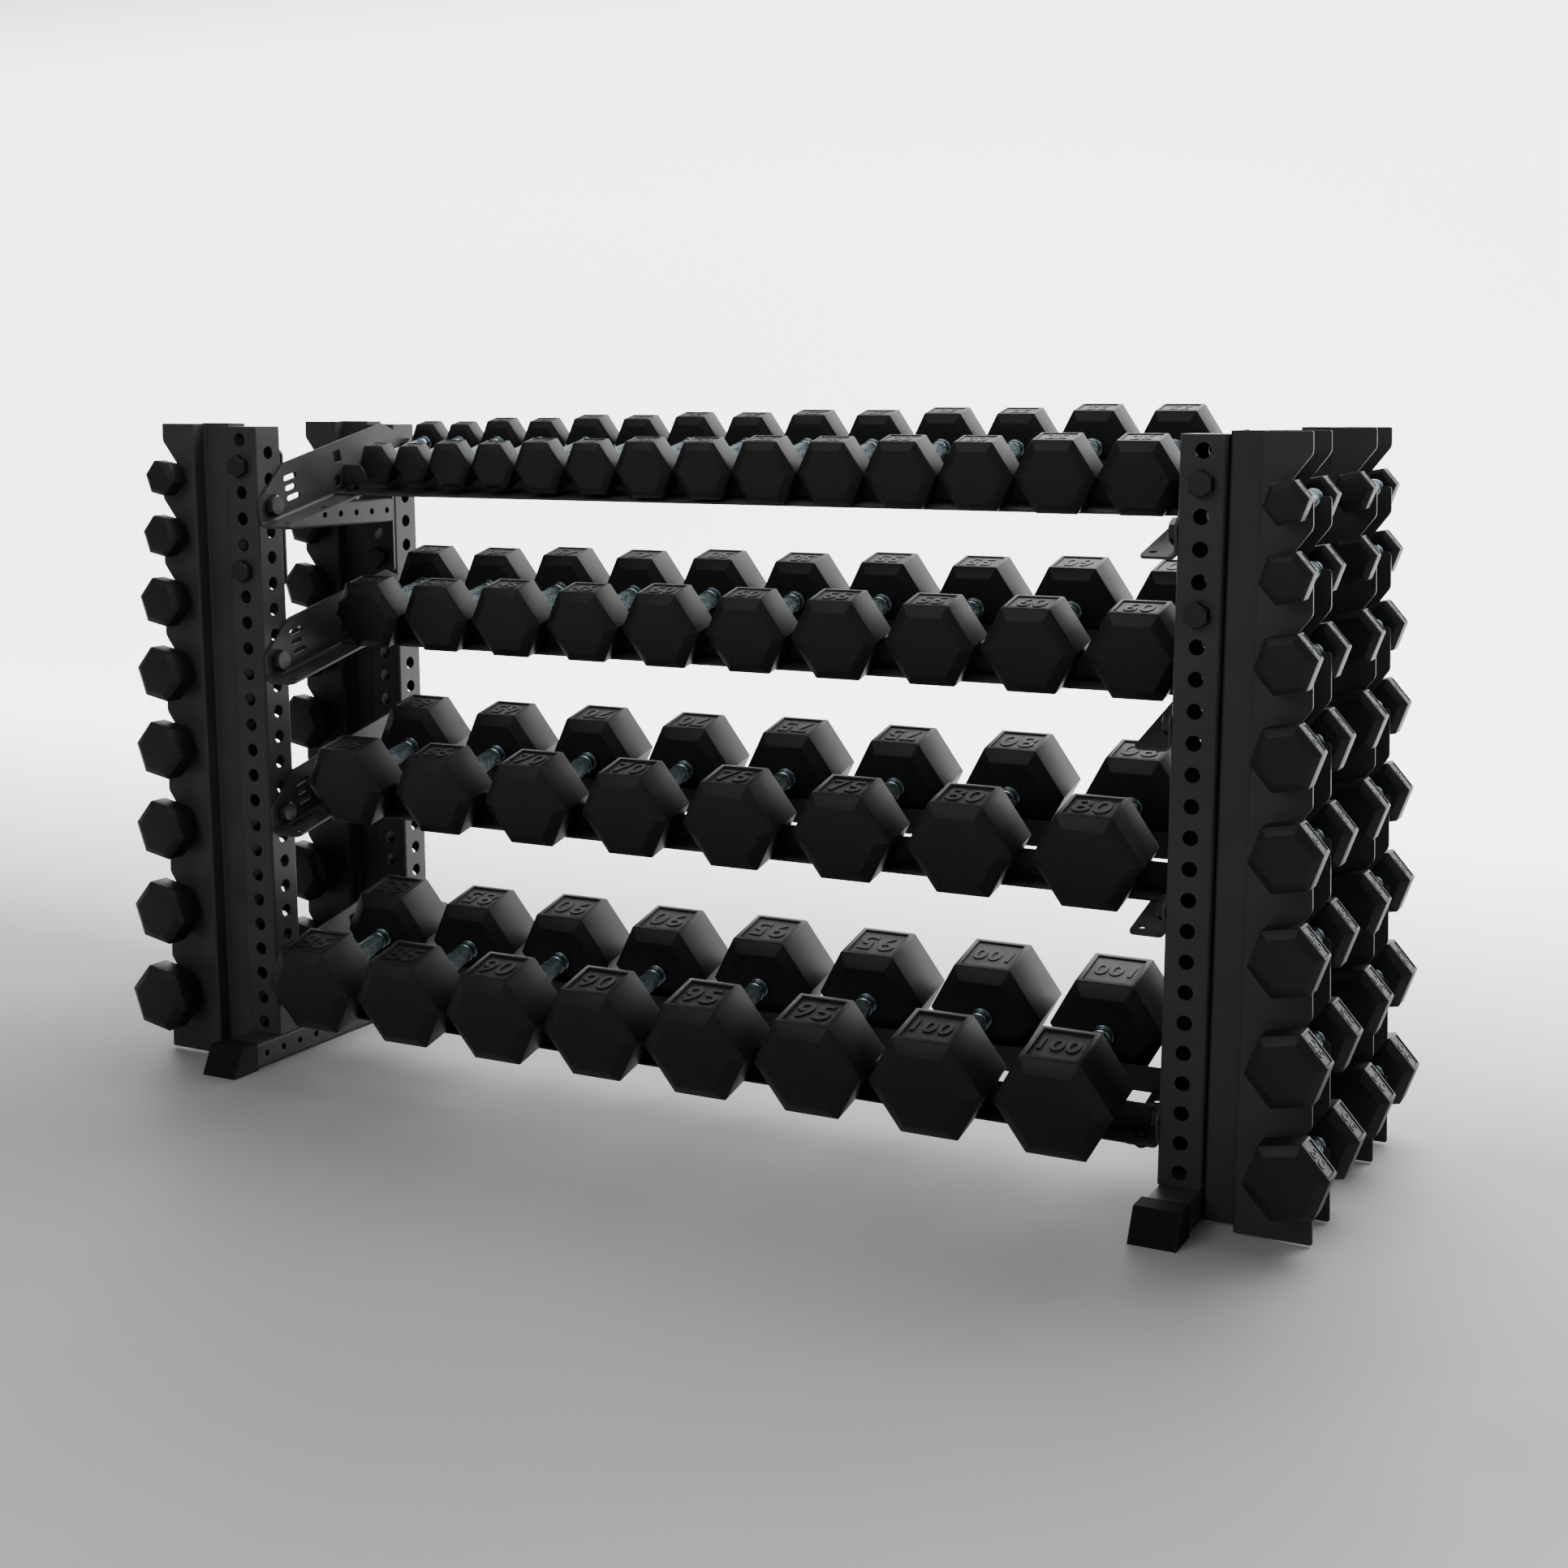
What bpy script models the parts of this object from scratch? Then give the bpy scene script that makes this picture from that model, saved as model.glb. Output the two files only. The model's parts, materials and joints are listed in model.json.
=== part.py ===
"""Two-sided dumbbell rack, loaded with hex dumbbells on four sloping tiers.

Units are metres. +X runs along the tiers, +Y from the front to the back and +Z up. The origin is on
the floor, under the middle of the rack.
"""
import math

import bmesh
import bpy

INCH = 0.0254
GAP = 0.0003                        # air between pieces that touch
WELD = 0.0002                       # depth by which welded shapes enter each other

# Square tube frame
TUBE = 3.0 * INCH                   # outer width of every frame tube
TUBE_WALL = 0.0048
TUBE_CORNER = 0.006
CROSS_HEIGHT = 2.0 * INCH           # height of the crossmembers' section
INNER_HALF = 36.25 * INCH           # middle of the rack to the uprights' inner faces
UPRIGHT_X = INNER_HALF + TUBE / 2
OUTER_HALF = INNER_HALF + TUBE
UPRIGHT_Y = 8.5 * INCH              # middle of the rack to an upright's axis
UPRIGHT_LENGTH = 48.0 * INCH
BASE_BOTTOM = 0.003                 # the rubber under the base crossmember
BASE_TOP = BASE_BOTTOM + CROSS_HEIGHT
BASE_HALF_LENGTH = 14.25 * INCH
UPRIGHT_TOP = BASE_TOP + UPRIGHT_LENGTH

# Holes in the frame
HOLE_PITCH = 2.0 * INCH
HOLE_RADIUS = 0.5 * INCH
HOLE_COUNT = 24
HOLE_SIDES = 8
SMALL_HOLE_RADIUS = 0.25 * INCH
TOP_CROSS_HOLES = 7
BASE_HOLES = 12
BASE_FIRST_HOLE = -0.2918

# Top crossmember
TOP_CROSS_LOW = 1.0698
END_PLATE_THICKNESS = 0.0064
END_PLATE_HALF_HEIGHT = 5.25 * INCH

# Rubber foot caps
FOOT_HALF_WIDTH = 0.0405
FOOT_TOP = 0.0565
FOOT_INNER_END = 0.3227
FOOT_OUTER_TOP = 0.3687
FOOT_OUTER_BOTTOM = 0.3947

# Dumbbells: size laws for a head, from the weight in pounds
HEAD_FLATS = 0.182                  # across the flats at 100 lb
FLATS_POWER = 0.35
FLATS_START = 3                     # pounds added before the power
HEAD_LENGTH = 0.038                 # along the handle, for no weight
LENGTH_GAIN = 0.00099               # more of it per pound
CHAMFER_RATIO = 0.13                # head chamfer over the size across the flats
GRIP_LENGTH = 0.136                 # between the two heads
HANDLE_RADIUS_SMALL = 0.013
HANDLE_RADIUS_GAIN = 0.0035
HANDLE_GAIN_WEIGHT = 45.0           # pounds over which the handle grows
HANDLE_SWELL = 1.12                 # middle of the grip over its ends
HEX_SIDES = 6
HANDLE_SIDES = 12

# Side holders: bent sheet, one behind the other at each end
SHEET = 0.0048
HOLDER_LOW = 0.0036
HOLDER_HIGH = 1.2786
HOLDER_EDGE_LOW = 1.185             # outer edge at the bottom, from the middle of the rack
HOLDER_EDGE_HIGH = 1.133
HOLDER_WALL_Y = 0.028               # holder's middle to the outside of its walls
HOLDER_LEG_Y = 0.060                # holder's middle to the outside of its legs
JOGGLE_X = 1.056                    # where the walls step out to the legs
JOGGLE_RADIUS = 0.010
SIDE_RATINGS = (5, 10, 15, 20, 25, 30, 35, 40)
SIDE_ROOM = 0.2102                  # height kept for a head in a notch rated for 100 lb
SIDE_TOP_HANDLE = 1.1736            # height of the top notch's handle axis
SIDE_CLEARANCE = 0.0287             # air between the room of one notch and the next
HANDLE_LINE_TOP = 1.106             # handle axis of the uppermost notch, from the middle of the rack
HANDLE_LINE_LEAN = 0.046            # how far the axes move out per metre of drop
NOTCH_RADIUS = 0.015
NOTCH_TIP = 0.004                   # hook's tip over the handle axis
NOTCH_RISE = 0.072                  # upper end of the slope over the handle axis
NOTCH_THROAT = 0.016                # lower end of the slope over the handle axis

# Tiers: two arms and two angle rails each, square to the slope that the bolts set
TIER_RISE = 4.0 * INCH              # rear bolt over the front bolt
TILT = math.atan2(TIER_RISE, 2 * UPRIGHT_Y)
FRONT_BOLTS = (1.1206, 0.8158, 0.5110, 0.1554)
ARM_ORIGIN_Y = -0.2449              # arm's lower front corner
ARM_DROP = 0.0461                   # arm's lower front corner under the front bolt
ARM_PLATE = 0.0048
ARM_BOTTOM = 0.003
ARM_TOP = 0.109
ARM_LENGTH = 0.508
ARM_FLANGE_EDGE = 0.857             # inner edge of the arm's flange, from the middle of the rack
ARM_OUTLINE = (
    (0.000, 0.015), (0.012, ARM_BOTTOM), (ARM_LENGTH, ARM_BOTTOM), (ARM_LENGTH, 0.048),
    (0.419, ARM_TOP), (0.092, ARM_TOP), (0.004, 0.056),
)
ARM_FLANGE_ENDS = (0.014, 0.506)
ARM_SQUARE_HOLE = (0.258, 0.080, 0.012)
ARM_ROUND_HOLE = (0.247, 0.033, 0.013)
RAIL_HALF_LENGTH = 0.914
RAIL_SIZE = 2.0 * INCH
RAIL_SHEET = 0.0048
RAIL_HALF_SPACING = 2.25 * INCH     # tier's middle to a rail's upright leg
RAIL_BOTTOM = ARM_BOTTOM + ARM_PLATE - WELD
TIER_MIDDLES = (0.334, 0.346, 0.226, 0.102)
TIER_WEIGHTS = (
    (5, 10, 15, 20, 25, 30, 35),
    (40, 45, 50, 55, 60),
    (65, 70, 75, 80),
    (85, 90, 95, 100),
)
TIER_ENDS = ((-0.841, 0.870), (-0.895, 0.890), (-0.865, 0.870), (-0.867, 0.879))


def clear_scene():
    for obj in list(bpy.data.objects):
        bpy.data.objects.remove(obj, do_unlink=True)


def make_material(name, colour, roughness, metallic):
    material = bpy.data.materials.new(name)
    material.use_nodes = True
    shader = material.node_tree.nodes["Principled BSDF"]
    shader.inputs["Base Color"].default_value = (*colour, 1.0)
    shader.inputs["Roughness"].default_value = roughness
    shader.inputs["Metallic"].default_value = metallic
    return material


def add_object(name, mesh, parent=None, location=(0.0, 0.0, 0.0), turn=0.0):
    obj = bpy.data.objects.new(name, mesh)
    bpy.context.scene.collection.objects.link(obj)
    obj.parent = parent
    obj.location = location
    obj.rotation_euler = (0.0, 0.0, turn)
    return obj


def finish_mesh(name, bm, material=None):
    bmesh.ops.recalc_face_normals(bm, faces=bm.faces)
    mesh = bpy.data.meshes.new(name)
    bm.to_mesh(mesh)
    bm.free()
    if material:
        mesh.materials.append(material)
    return mesh


def on_axis(axis, a, b, along):
    """Place the outline point (a, b) at a distance along an axis."""
    return {"X": (along, a, b), "Y": (a, along, b), "Z": (a, b, along)}[axis]


def ring(bm, outline, axis, along):
    return [bm.verts.new(on_axis(axis, a, b, along)) for a, b in outline]


def bridge(bm, first, second):
    count = len(first)
    for i in range(count):
        j = (i + 1) % count
        bm.faces.new((first[i], first[j], second[j], second[i]))


def add_prism(bm, outline, axis, low, high, high_outline=None):
    start = ring(bm, outline, axis, low)
    end = ring(bm, high_outline or outline, axis, high)
    bridge(bm, start, end)
    bm.faces.new(start)
    bm.faces.new(end)


def add_tube(bm, outer, inner, axis, low, high, closed_wall=0.0):
    """Add a tube, open at its low end; closed_wall is the thickness of the plate across its high end."""
    outer_low = ring(bm, outer, axis, low)
    outer_high = ring(bm, outer, axis, high)
    inner_low = ring(bm, inner, axis, low)
    inner_high = ring(bm, inner, axis, high - closed_wall)
    bridge(bm, outer_low, outer_high)
    bridge(bm, inner_low, inner_high)
    bridge(bm, outer_low, inner_low)
    if closed_wall:
        bm.faces.new(outer_high)
        bm.faces.new(inner_high)
    else:
        bridge(bm, outer_high, inner_high)


def rectangle(half_width, half_height, middle=(0.0, 0.0)):
    a, b = middle
    return [
        (a - half_width, b - half_height), (a + half_width, b - half_height),
        (a + half_width, b + half_height), (a - half_width, b + half_height),
    ]


def rounded_rectangle(half_width, half_height, radius, middle=(0.0, 0.0), steps=2):
    points = []
    for corner, (side, level) in enumerate(((1, 1), (-1, 1), (-1, -1), (1, -1))):
        a = middle[0] + side * (half_width - radius)
        b = middle[1] + level * (half_height - radius)
        for step in range(steps + 1):
            angle = math.radians(90.0 * (corner + step / steps))
            points.append((a + radius * math.cos(angle), b + radius * math.sin(angle)))
    return points


def circle(radius, sides, middle=(0.0, 0.0)):
    """Polygon round a circle, with a flat side on top."""
    points = []
    for i in range(sides):
        angle = 2 * math.pi * (i + 0.5) / sides
        points.append((middle[0] + radius * math.cos(angle), middle[1] + radius * math.sin(angle)))
    return points


def boolean(obj, other, operation):
    other.hide_render = True
    other.display_type = "WIRE"
    modifier = obj.modifiers.new(operation.lower(), "BOOLEAN")
    modifier.operation = operation
    modifier.object = other


def helper_object(name, bm, parent=None, location=(0.0, 0.0, 0.0)):
    return add_object(name, finish_mesh(name, bm), parent, location)


def head_flats(weight):
    return HEAD_FLATS * ((weight + FLATS_START) / (100 + FLATS_START)) ** FLATS_POWER


def head_corners(weight):
    return head_flats(weight) / math.cos(math.pi / HEX_SIDES)


def handle_radius(weight):
    gain = min(1.0, (weight - 5) / HANDLE_GAIN_WEIGHT)
    return HANDLE_RADIUS_SMALL + HANDLE_RADIUS_GAIN * gain


def handle_radius_on_rail(weight):
    swell = (HANDLE_SWELL - 1) * (1 - RAIL_HALF_SPACING / (GRIP_LENGTH / 2))
    return handle_radius(weight) * (1 + swell)


# Frame


def build_upright(name, x, y, face, material):
    """Square tube with a plate across its top; face is -1 or 1, the side of Y with the row of holes."""
    bm = bmesh.new()
    outer = rounded_rectangle(TUBE / 2, TUBE / 2, TUBE_CORNER)
    inner = rounded_rectangle(TUBE / 2 - TUBE_WALL, TUBE / 2 - TUBE_WALL, TUBE_CORNER - TUBE_WALL)
    add_tube(bm, outer, inner, "Z", BASE_TOP + GAP, UPRIGHT_TOP, TUBE_WALL)
    upright = add_object(name, finish_mesh(name, bm, material), None, (x, y, 0.0))
    holes = bmesh.new()
    for i in range(HOLE_COUNT):
        height = UPRIGHT_TOP - HOLE_PITCH * (i + 0.5)
        ends = sorted((0.0, face * TUBE))
        add_prism(holes, circle(HOLE_RADIUS, HOLE_SIDES, (0.0, height)), "Y", *ends)
    boolean(upright, helper_object(name + "_holes", holes, None, (x, y, 0.0)), "DIFFERENCE")


def build_base_crossmember(name, x, material):
    bm = bmesh.new()
    middle = (0.0, (BASE_BOTTOM + BASE_TOP) / 2)
    outer = rounded_rectangle(TUBE / 2, CROSS_HEIGHT / 2, TUBE_CORNER, middle)
    inner = rounded_rectangle(TUBE / 2 - TUBE_WALL, CROSS_HEIGHT / 2 - TUBE_WALL,
                              TUBE_CORNER - TUBE_WALL, middle)
    add_tube(bm, outer, inner, "Y", -BASE_HALF_LENGTH, BASE_HALF_LENGTH)
    tube = add_object(name, finish_mesh(name, bm, material), None, (x, 0.0, 0.0))
    holes = bmesh.new()
    for i in range(BASE_HOLES):
        y = BASE_FIRST_HOLE + HOLE_PITCH * i
        add_prism(holes, circle(SMALL_HOLE_RADIUS, HOLE_SIDES, (y, middle[1])), "X", -TUBE, TUBE)
    boolean(tube, helper_object(name + "_holes", holes, None, (x, 0.0, 0.0)), "DIFFERENCE")


def build_top_crossmember(name, x, material):
    """Tube with a bolting plate welded on each end."""
    middle_height = TOP_CROSS_LOW + CROSS_HEIGHT / 2
    plate_face = UPRIGHT_Y - TUBE / 2 - GAP
    plate_back = plate_face - END_PLATE_THICKNESS
    bm = bmesh.new()
    outer = rounded_rectangle(TUBE / 2, CROSS_HEIGHT / 2, TUBE_CORNER, (0.0, middle_height))
    inner = rounded_rectangle(TUBE / 2 - TUBE_WALL, CROSS_HEIGHT / 2 - TUBE_WALL,
                              TUBE_CORNER - TUBE_WALL, (0.0, middle_height))
    add_tube(bm, outer, inner, "Y", -plate_back - WELD, plate_back + WELD)
    cross = add_object(name, finish_mesh(name, bm, material), None, (x, 0.0, 0.0))
    plates = bmesh.new()
    plate = rectangle(TUBE / 2 - GAP, END_PLATE_HALF_HEIGHT, (0.0, middle_height))
    for side in (-1, 1):
        add_prism(plates, plate, "Y", *sorted((side * plate_back, side * plate_face)))
    boolean(cross, helper_object(name + "_plates", plates, None, (x, 0.0, 0.0)), "UNION")
    holes = bmesh.new()
    for i in range(TOP_CROSS_HOLES):
        y = HOLE_PITCH * (i - (TOP_CROSS_HOLES - 1) / 2)
        add_prism(holes, circle(SMALL_HOLE_RADIUS, HOLE_SIDES, (y, middle_height)), "X", -TUBE, TUBE)
    boolean(cross, helper_object(name + "_holes", holes, None, (x, 0.0, 0.0)), "DIFFERENCE")


def build_foot_cap(name, x, turn, material):
    """Rubber cap with a raked front, over one end of a base crossmember."""
    bm = bmesh.new()
    profile = [
        (-FOOT_OUTER_BOTTOM, 0.0), (-FOOT_INNER_END, 0.0),
        (-FOOT_INNER_END, FOOT_TOP), (-FOOT_OUTER_TOP, FOOT_TOP),
    ]
    add_prism(bm, profile, "X", -FOOT_HALF_WIDTH, FOOT_HALF_WIDTH)
    cap = add_object(name, finish_mesh(name, bm, material), None, (x, 0.0, 0.0), turn)
    pocket = bmesh.new()
    outline = rounded_rectangle(TUBE / 2 + GAP, CROSS_HEIGHT / 2 + GAP, TUBE_CORNER,
                                (0.0, (BASE_BOTTOM + BASE_TOP) / 2))
    add_prism(pocket, outline, "Y", -BASE_HALF_LENGTH - GAP, 0.0)
    cutter = helper_object(name + "_pocket", pocket, None, (x, 0.0, 0.0))
    cutter.rotation_euler = (0.0, 0.0, turn)
    boolean(cap, cutter, "DIFFERENCE")


# Side holders


def side_handle_heights():
    """Heights of the notches' handle axes, further apart from the top down as the heads grow."""
    rooms = [SIDE_ROOM * (rating / 100) ** FLATS_POWER for rating in SIDE_RATINGS]
    heights = [SIDE_TOP_HANDLE]
    for above, below in zip(rooms, rooms[1:]):
        heights.append(heights[-1] - (above + below) / 2 - SIDE_CLEARANCE)
    return heights


def holder_edge(height):
    share = (height - HOLDER_LOW) / (HOLDER_HIGH - HOLDER_LOW)
    return HOLDER_EDGE_LOW + (HOLDER_EDGE_HIGH - HOLDER_EDGE_LOW) * share


def offset_path(path, distance):
    """Move an open path sideways by a distance, with mitred corners."""
    moved = []
    for i, point in enumerate(path):
        normals = []
        for a, b in ((i - 1, i), (i, i + 1)):
            if a < 0 or b >= len(path):
                continue
            dx = path[b][0] - path[a][0]
            dy = path[b][1] - path[a][1]
            length = math.hypot(dx, dy)
            normals.append((-dy / length, dx / length))
        nx = sum(n[0] for n in normals) / len(normals)
        ny = sum(n[1] for n in normals) / len(normals)
        scale = distance / (nx * nx + ny * ny)
        moved.append((point[0] + nx * scale, point[1] + ny * scale))
    return moved


def holder_half_path(edge):
    """Outside of the sheet from the outer edge of a leg, round the joggle, to the web's corner."""
    path = [(edge, HOLDER_LEG_Y)]
    step_out = HOLDER_LEG_Y - JOGGLE_RADIUS
    step_in = HOLDER_WALL_Y + JOGGLE_RADIUS
    for angle in (math.radians(90.0), math.radians(135.0), math.radians(180.0)):
        x = JOGGLE_X + JOGGLE_RADIUS * (1 + math.cos(angle))
        path.append((x, step_out + JOGGLE_RADIUS * math.sin(angle)))
    for angle in (0.0, math.radians(-45.0), math.radians(-90.0)):
        x = JOGGLE_X + JOGGLE_RADIUS * (math.cos(angle) - 1)
        path.append((x, step_in + JOGGLE_RADIUS * math.sin(angle)))
    path.append((OUTER_HALF + GAP, HOLDER_WALL_Y))
    return path


def holder_outline(edge, side):
    half = holder_half_path(edge)
    path = half + [(x, -y) for x, y in reversed(half)]
    outline = path + list(reversed(offset_path(path, SHEET)))
    return [(side * x, y) for x, y in outline]


def notch_outline(height, side):
    """J-shaped notch: a slope from the outer edge down to a round pocket behind a hook."""
    handle_x = HANDLE_LINE_TOP + HANDLE_LINE_LEAN * (SIDE_TOP_HANDLE - height)
    inset = holder_edge(height) - handle_x
    past_edge = inset + NOTCH_RADIUS
    slope = (NOTCH_RISE - NOTCH_THROAT) / (inset + NOTCH_RADIUS)
    points = [(past_edge, NOTCH_TIP), (NOTCH_RADIUS, NOTCH_TIP)]
    for i in range(6):
        angle = math.radians(-36.0 * i)
        points.append((NOTCH_RADIUS * math.cos(angle), NOTCH_RADIUS * math.sin(angle)))
    points.append((-NOTCH_RADIUS, NOTCH_THROAT))
    points.append((past_edge, NOTCH_THROAT + slope * (past_edge + NOTCH_RADIUS)))
    return [(side * (handle_x + u), height + v) for u, v in points]


def build_holder(name, side, y, material):
    bm = bmesh.new()
    low = holder_outline(holder_edge(HOLDER_LOW), side)
    high = holder_outline(holder_edge(HOLDER_HIGH), side)
    add_prism(bm, low, "Z", HOLDER_LOW, HOLDER_HIGH, high)
    holder = add_object(name, finish_mesh(name, bm, material), None, (0.0, y, 0.0))
    notches = bmesh.new()
    for height in side_handle_heights():
        outline = notch_outline(height, side)
        add_prism(notches, outline, "Y", -2 * HOLDER_LEG_Y, 2 * HOLDER_LEG_Y)
    boolean(holder, helper_object(name + "_notches", notches, None, (0.0, y, 0.0)), "DIFFERENCE")


# Tiers


def build_tier_axes(tier):
    """Empty with +Y up the slope and +Z square to it, at the arms' lower front corner."""
    axes = add_object(f"tier_{tier + 1}_axes", None)
    axes.location = (0.0, ARM_ORIGIN_Y, FRONT_BOLTS[tier] - ARM_DROP)
    axes.rotation_euler = (TILT, 0.0, 0.0)
    return axes


def rail_outline(middle, side):
    """Angle section: one leg upright beside the tier's middle, the other flat and pointing away."""
    inside = middle + side * RAIL_HALF_SPACING
    outside = middle + side * (RAIL_HALF_SPACING + RAIL_SIZE)
    back = inside + side * RAIL_SHEET
    top = RAIL_BOTTOM + RAIL_SIZE
    flat = RAIL_BOTTOM + RAIL_SHEET
    lower = [(inside, RAIL_BOTTOM), (outside, RAIL_BOTTOM), (outside, flat)]
    return lower + [(back, flat), (back, top), (inside, top)]


def build_tray(name, tier, axes, material):
    """Two flanged arms, bolted to the uprights' inner faces, and two angle rails across them."""
    plate_outer = INNER_HALF - GAP
    plate_inner = plate_outer - ARM_PLATE
    bm = bmesh.new()
    for side in (-1, 1):
        add_prism(bm, ARM_OUTLINE, "X", *sorted((side * plate_inner, side * plate_outer)))
    tray = add_object(name, finish_mesh(name, bm, material), axes)
    flanges = bmesh.new()
    for side in (-1, 1):
        ends = sorted((side * ARM_FLANGE_EDGE, side * (plate_inner + WELD)))
        low, high = ARM_FLANGE_ENDS
        top = ARM_BOTTOM + ARM_PLATE
        flange = [(low, ARM_BOTTOM), (high, ARM_BOTTOM), (high, top), (low, top)]
        add_prism(flanges, flange, "X", *ends)
    boolean(tray, helper_object(name + "_flanges", flanges, axes), "UNION")
    rails = bmesh.new()
    for side in (-1, 1):
        add_prism(rails, rail_outline(TIER_MIDDLES[tier], side), "X", -RAIL_HALF_LENGTH, RAIL_HALF_LENGTH)
    boolean(tray, helper_object(name + "_rails", rails, axes), "UNION")
    holes = bmesh.new()
    square = rectangle(ARM_SQUARE_HOLE[2], ARM_SQUARE_HOLE[2], ARM_SQUARE_HOLE[:2])
    disc = circle(ARM_ROUND_HOLE[2], HANDLE_SIDES, ARM_ROUND_HOLE[:2])
    for side in (-1, 1):
        ends = sorted((side * (plate_inner - GAP), side * (plate_outer + GAP)))
        add_prism(holes, square, "X", *ends)
        add_prism(holes, disc, "X", *ends)
    boolean(tray, helper_object(name + "_holes", holes, axes), "DIFFERENCE")


# Dumbbells


def polygon_ring(bm, sides, corner_radius, y):
    """Ring round the handle's axis; a hexagon has flats on its top and bottom."""
    points = []
    for i in range(sides):
        angle = 2 * math.pi * i / sides
        points.append((corner_radius * math.cos(angle), corner_radius * math.sin(angle)))
    return ring(bm, points, "Y", y)


def join_hexagon_to_handle(bm, hexagon, handle):
    """Close the flat face between a head's edge and the handle, which has twice as many corners."""
    for i in range(HEX_SIDES):
        j = (i + 1) % HEX_SIDES
        middle = 2 * i + 1
        after = (2 * i + 2) % HANDLE_SIDES
        bm.faces.new((hexagon[i], handle[2 * i], handle[middle]))
        bm.faces.new((hexagon[i], handle[middle], hexagon[j]))
        bm.faces.new((hexagon[j], handle[middle], handle[after]))


def dumbbell_mesh(name, weight, material):
    """One dumbbell along Y, round the middle of its handle."""
    radius = handle_radius(weight)
    corner = head_corners(weight) / 2
    chamfer = CHAMFER_RATIO * head_flats(weight)
    small_corner = corner - chamfer / math.cos(math.pi / HEX_SIDES)
    length = HEAD_LENGTH + LENGTH_GAIN * weight
    bm = bmesh.new()
    middle_ring = polygon_ring(bm, HANDLE_SIDES, radius * HANDLE_SWELL, 0.0)
    for side in (-1, 1):
        inner = side * GRIP_LENGTH / 2
        outer = side * (GRIP_LENGTH / 2 + length)
        end_ring = polygon_ring(bm, HANDLE_SIDES, radius, inner)
        bridge(bm, middle_ring, end_ring)
        rings = [
            polygon_ring(bm, HEX_SIDES, small_corner, inner),
            polygon_ring(bm, HEX_SIDES, corner, inner + side * chamfer),
            polygon_ring(bm, HEX_SIDES, corner, outer - side * chamfer),
            polygon_ring(bm, HEX_SIDES, small_corner, outer),
        ]
        join_hexagon_to_handle(bm, rings[0], end_ring)
        for first, second in zip(rings, rings[1:]):
            bridge(bm, first, second)
        bm.faces.new(rings[-1])
    return finish_mesh(name, bm, material)


def resting_height(weight):
    """Handle's axis over the arms' lower edge: on its heads, or on its handle where the heads are small."""
    on_heads = RAIL_BOTTOM + RAIL_SHEET + GAP + head_flats(weight) / 2
    on_handle = RAIL_BOTTOM + RAIL_SIZE + GAP + handle_radius_on_rail(weight)
    return max(on_heads, on_handle)


def build_tier_dumbbells(tier, axes, material):
    """Pairs in order of weight, with equal air between the heads."""
    left, right = TIER_ENDS[tier]
    weights = TIER_WEIGHTS[tier]
    taken = 2 * sum(head_corners(weight) for weight in weights)
    air = (right - left - taken) / (2 * len(weights) - 1)
    x = left
    for weight in weights:
        mesh = dumbbell_mesh(f"dumbbell_{weight:03d}", weight, material)
        for letter in "ab":
            place = (x + head_corners(weight) / 2, TIER_MIDDLES[tier], resting_height(weight))
            add_object(f"dumbbell_{weight:03d}_{letter}", mesh, axes, place)
            x += head_corners(weight) + air


def main():
    clear_scene()
    steel = make_material("black_powder_coat", (0.018, 0.018, 0.019), 0.55, 0.0)
    rubber = make_material("black_rubber", (0.012, 0.012, 0.013), 0.75, 0.0)
    heads = make_material("rubber_coated_iron", (0.020, 0.020, 0.021), 0.60, 0.0)
    for end, side in (("left", -1), ("right", 1)):
        x = side * UPRIGHT_X
        for row, face in (("front", -1), ("rear", 1)):
            build_upright(f"upright_{end}_{row}", x, face * UPRIGHT_Y, face, steel)
            build_holder(f"side_holder_{end}_{row}", side, face * UPRIGHT_Y, steel)
            turn = 0.0 if face < 0 else math.pi
            build_foot_cap(f"foot_cap_{end}_{row}", x, turn, rubber)
        build_base_crossmember(f"base_crossmember_{end}", x, steel)
        build_top_crossmember(f"top_crossmember_{end}", x, steel)
    for tier in range(len(FRONT_BOLTS)):
        axes = build_tier_axes(tier)
        build_tray(f"tray_{tier + 1}", tier, axes, steel)
        build_tier_dumbbells(tier, axes, heads)


main()
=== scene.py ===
import json
import math

import bmesh
import bpy
from mathutils import Matrix, Vector


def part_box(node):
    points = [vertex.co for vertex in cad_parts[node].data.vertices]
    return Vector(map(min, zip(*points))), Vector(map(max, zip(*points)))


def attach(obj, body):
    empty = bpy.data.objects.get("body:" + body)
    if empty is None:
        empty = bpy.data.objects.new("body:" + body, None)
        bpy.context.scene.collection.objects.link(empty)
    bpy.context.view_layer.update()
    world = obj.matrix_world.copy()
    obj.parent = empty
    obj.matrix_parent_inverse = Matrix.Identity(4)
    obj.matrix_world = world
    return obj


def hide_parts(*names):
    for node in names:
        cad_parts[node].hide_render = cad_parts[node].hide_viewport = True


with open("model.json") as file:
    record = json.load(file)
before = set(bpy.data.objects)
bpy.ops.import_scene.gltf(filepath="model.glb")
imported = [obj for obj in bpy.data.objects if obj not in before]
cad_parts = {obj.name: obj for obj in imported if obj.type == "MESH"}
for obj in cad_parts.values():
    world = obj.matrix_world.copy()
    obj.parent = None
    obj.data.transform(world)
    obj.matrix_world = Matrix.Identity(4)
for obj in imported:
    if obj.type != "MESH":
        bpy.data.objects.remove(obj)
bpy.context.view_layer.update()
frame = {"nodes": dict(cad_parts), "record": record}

# Sizes in metres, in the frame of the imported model: +X along the tiers, +Y to the back, +Z up
INCH = 0.0254
FRAME_BODY = "rack_frame"
JOINTS = frame["record"]["behaviour"]["joints"]
SLIDE = JOINTS[0]["axis"]
TILT = math.atan2(-SLIDE[1], SLIDE[2])

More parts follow.
